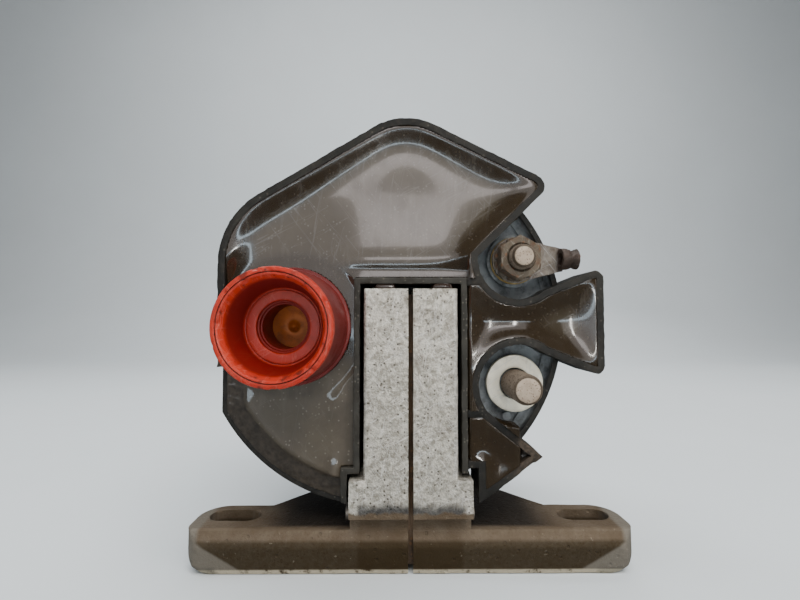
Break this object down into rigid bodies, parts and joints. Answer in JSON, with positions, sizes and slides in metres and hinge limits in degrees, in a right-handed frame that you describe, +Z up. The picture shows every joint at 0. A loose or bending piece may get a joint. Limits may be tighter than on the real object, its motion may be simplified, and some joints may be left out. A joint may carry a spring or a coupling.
{
  "type": "ignition coil",
  "caption": "Closed-core ignition coil: resin-filled cup with a high-tension tower and two studs on a cast bracket with a slotted foot.",
  "frame": {"origin": "midway between the two mounting slots, on the mounting face", "axes": "+Z up from the mounting face, +X along the foot to the right seen from the front, -Y the way the high-tension tower and the studs point"},
  "size_m": [0.0916, 0.0649, 0.0925],
  "materials": {
    "cast_aluminium": "grainy die casting, scratched",
    "rivet_steel": "plain steel rivet",
    "core_steel": "cut edges of laminations with a little rust",
    "insulating_card": "pressboard",
    "locking_compound": "dark glossy compound",
    "black_plastic": "black moulded thermoset, rough edges",
    "copper": "enamelled copper",
    "resin": "dark cast resin, glossy, lightly scratched",
    "red_plastic": "red moulded plastic, worn",
    "brass": "brass contact",
    "terminal_steel": "plated steel with some rust",
    "washer_steel": "clean zinc-plated washer",
    "yellow_passivated": "yellow passivated steel",
    "tarnished_lug": "tinned copper lug, tarnished"
  },
  "bodies": {
    "root": {"bracket_half_left": "cast_aluminium", "bracket_half_right": "cast_aluminium", "bracket_rivets": "rivet_steel", "core_u_stack": "core_steel", "core_bar_stack": "core_steel", "core_gap_spacer": "insulating_card", "core_locking_beads": "locking_compound", "primary_bobbin": "black_plastic", "primary_winding": "copper", "winding_sleeve": "insulating_card", "secondary_bobbin": "black_plastic", "secondary_winding": "copper", "coil_housing": "black_plastic", "potting_resin": "resin", "ht_tower": "red_plastic", "ht_contact_insert": "brass", "ht_lead": "copper", "primary_lead_start": "copper", "primary_lead_end": "copper", "secondary_lead": "copper", "terminal_stud_m6": "terminal_steel", "plain_washer_m6": "washer_steel", "terminal_stud_m5": "terminal_steel", "plain_washer_m5": "yellow_passivated", "ring_terminal": "tarnished_lug", "wire_stub": "copper", "lock_washer_m5": "terminal_steel", "hex_nut_m5": "terminal_steel"}
  },
  "joints": []
}
